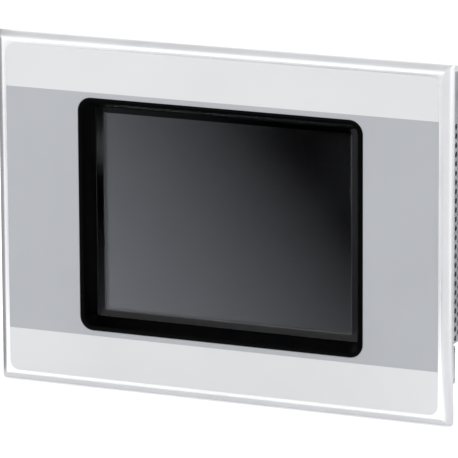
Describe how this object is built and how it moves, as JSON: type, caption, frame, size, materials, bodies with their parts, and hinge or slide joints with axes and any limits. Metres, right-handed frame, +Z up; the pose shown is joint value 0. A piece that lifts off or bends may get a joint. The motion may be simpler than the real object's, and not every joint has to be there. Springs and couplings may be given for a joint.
{
  "type": "touch panel operator terminal",
  "caption": "Panel-mounted operator terminal: flat rimmed front with a sunk touch display, and a perforated sheet-metal case with a connector bay behind it.",
  "frame": {"origin": "middle of the front frame's rear face, which lies on the outside of the cabinet door", "axes": "+X to the right as the operator sees the front, +Y back into the cabinet, +Z up; the front faces -Y"},
  "size_m": [0.212, 0.0535, 0.156],
  "materials": {
    "frame_metal": "satin anodised",
    "post_steel": "bright zinc plate",
    "overlay_film": "fine-textured polyester with a darker band across the middle",
    "seal_rubber": "matte",
    "bezel_plastic": "polished",
    "touch_polyester": "lightly hazed",
    "clear_glass": "polished",
    "adhesive": "matte",
    "amber_film": "satin",
    "lcd_glass": "dark polariser",
    "diffuser_film": "frosted",
    "guide_acrylic": "clear",
    "white_plastic": "moulded",
    "strip_board": "satin",
    "zinc_sheet": "zinc-coated sheet",
    "screw_steel": "bright zinc plate",
    "label_film": "blank printed film",
    "stud_brass": "plain",
    "board_laminate": "green solder mask",
    "black_plastic": "moulded",
    "sink_metal": "black anodised",
    "can_metal": "sleeved can",
    "grey_ferrite": "matte",
    "cell_steel": "satin",
    "port_steel": "tin plate",
    "contact_gold": "gold plate",
    "header_plastic": "moulded green",
    "card_plastic": "moulded",
    "grey_plastic": "moulded"
  },
  "bodies": {
    "case": {"front_frame": "frame_metal", "frame_posts": "post_steel", "front_overlay": "overlay_film", "panel_gasket": "seal_rubber", "display_bezel": "bezel_plastic", "bezel_screws": "screw_steel", "bezel_gasket": "seal_rubber", "touch_film": "touch_polyester", "touch_spacer": "adhesive", "touch_glass": "clear_glass", "touch_cable": "amber_film", "display_gasket": "seal_rubber", "lcd_frame": "zinc_sheet", "lcd_panel": "lcd_glass", "lcd_diffuser": "diffuser_film", "light_guide": "guide_acrylic", "light_strip": "strip_board", "lcd_carrier": "white_plastic", "lcd_backplate": "zinc_sheet", "display_brackets": "zinc_sheet", "bracket_screws": "screw_steel", "lcd_cable": "amber_film", "tray": "zinc_sheet", "tray_screws": "screw_steel", "rear_cover": "zinc_sheet", "cover_screws": "screw_steel", "rating_plate": "label_film", "ground_stud": "stud_brass", "main_board": "board_laminate", "board_standoffs": "stud_brass", "board_screws": "screw_steel", "board_sockets": "white_plastic", "processor": "black_plastic", "heat_sink": "sink_metal", "memory_chips": "black_plastic", "capacitors": "can_metal", "power_chokes": "grey_ferrite", "battery_holder": "black_plastic", "coin_cell": "cell_steel", "ethernet_port": "port_steel", "ethernet_contacts": "contact_gold", "usb_host_port": "port_steel", "usb_device_port": "port_steel", "usb_tongues": "white_plastic", "serial_shell": "port_steel", "serial_insert": "black_plastic", "can_shell": "port_steel", "can_insert": "black_plastic", "port_pins": "contact_gold", "jack_screws": "screw_steel", "power_header": "header_plastic", "power_pins": "contact_gold", "card_socket": "port_steel", "ctrl_switch": "black_plastic"},
    "card": {"memory_card": "card_plastic"},
    "button": {"ctrl_button": "grey_plastic"}
  },
  "joints": [
    {"name": "card_slide", "type": "slide", "parent": "case", "child": "card", "axis": [0, 0, -1], "range_m": [0, 0.032]},
    {"name": "button_press", "type": "slide", "parent": "case", "child": "button", "axis": [0, 0, 1], "range_m": [0, 0.0008], "stiffness_N_per_m": 1200, "springref_m": -0.0004}
  ]
}
